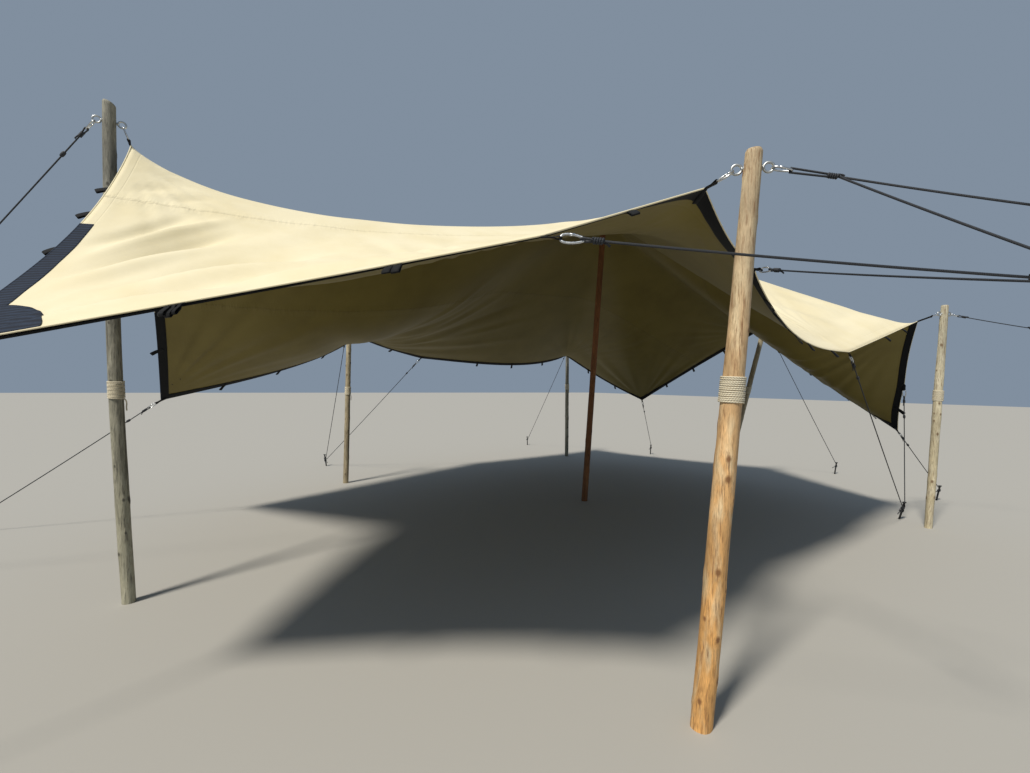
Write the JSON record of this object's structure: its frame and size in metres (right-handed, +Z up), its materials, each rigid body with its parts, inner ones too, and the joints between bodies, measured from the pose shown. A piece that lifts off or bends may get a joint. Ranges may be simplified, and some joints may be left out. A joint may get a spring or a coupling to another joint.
{
  "type": "stretch tent",
  "caption": "Stretch tent: a sand-coloured stretched canopy over leaning log poles and a centre mast, with through bolts, rope lashings, taut ropes and ground stakes.",
  "frame": {"origin": "middle of the centre mast's foot, on the ground", "axes": "+X along the canopy's long side, from the tall left pole to the end pole; +Y across it, from the front edge to the back edge; +Z up"},
  "size_m": [12.7891, 9.6729, 3.823],
  "materials": {
    "canopy_cloth": "coated stretch knit, matt, sand-coloured",
    "webbing": "black woven webbing and ribbed reinforcing fabric",
    "pole_wood": "peeled round softwood log, weathered",
    "mast_wood": "round softwood log, stained reddish brown",
    "steel": "bright galvanised and stainless fittings",
    "rope": "black braided rope",
    "sisal": "twisted sisal rope",
    "black_metal": "black painted steel"
  },
  "bodies": {
    "root": {"canopy_front_panel": "canopy_cloth", "canopy_middle_panel": "canopy_cloth", "canopy_back_panel": "canopy_cloth", "edge_webbing": "webbing", "corner_patch_front_left": "webbing", "corner_patch_front_right": "webbing", "corner_patch_back_right": "webbing", "corner_patch_back_left": "webbing", "centre_mast": "mast_wood", "mast_cap": "black_metal", "front_pole": "pole_wood", "left_pole": "pole_wood", "right_pole": "pole_wood", "back_left_pole": "pole_wood", "back_right_pole": "pole_wood", "end_pole": "pole_wood", "front_pole_lashing": "sisal", "left_pole_lashing": "sisal", "right_pole_lashing": "sisal", "back_left_pole_lashing": "sisal", "back_right_pole_lashing": "sisal", "end_pole_lashing": "sisal", "front_pole_eyebolt": "steel", "left_pole_eyebolt": "steel", "right_pole_eyebolt": "steel", "back_left_pole_eyebolt": "steel", "back_right_pole_eyebolt": "steel", "end_pole_eyebolt": "steel", "front_pole_link": "steel", "left_pole_link": "steel", "right_pole_link": "steel", "back_left_pole_link": "steel", "back_right_pole_link": "steel", "end_pole_link": "steel", "front_pole_guy": "rope", "left_pole_guy": "rope", "right_pole_guy": "rope", "back_left_pole_guy": "rope", "back_right_pole_guy": "rope", "end_pole_guy": "rope", "front_left_corner_rope": "rope", "front_tie_1_rope": "rope", "front_tie_2_rope": "rope", "front_tie_3_rope": "rope", "side_tie_rope": "rope", "front_right_corner_rope": "rope", "back_right_corner_rope": "rope", "back_tie_rope": "rope", "back_left_corner_rope": "rope", "ground_stake_1": "black_metal", "ground_stake_2": "black_metal", "ground_stake_3": "black_metal", "ground_stake_4": "black_metal", "ground_stake_5": "black_metal", "ground_stake_6": "black_metal", "ground_stake_7": "black_metal", "ground_stake_8": "black_metal", "ground_stake_9": "black_metal"}
  },
  "joints": []
}
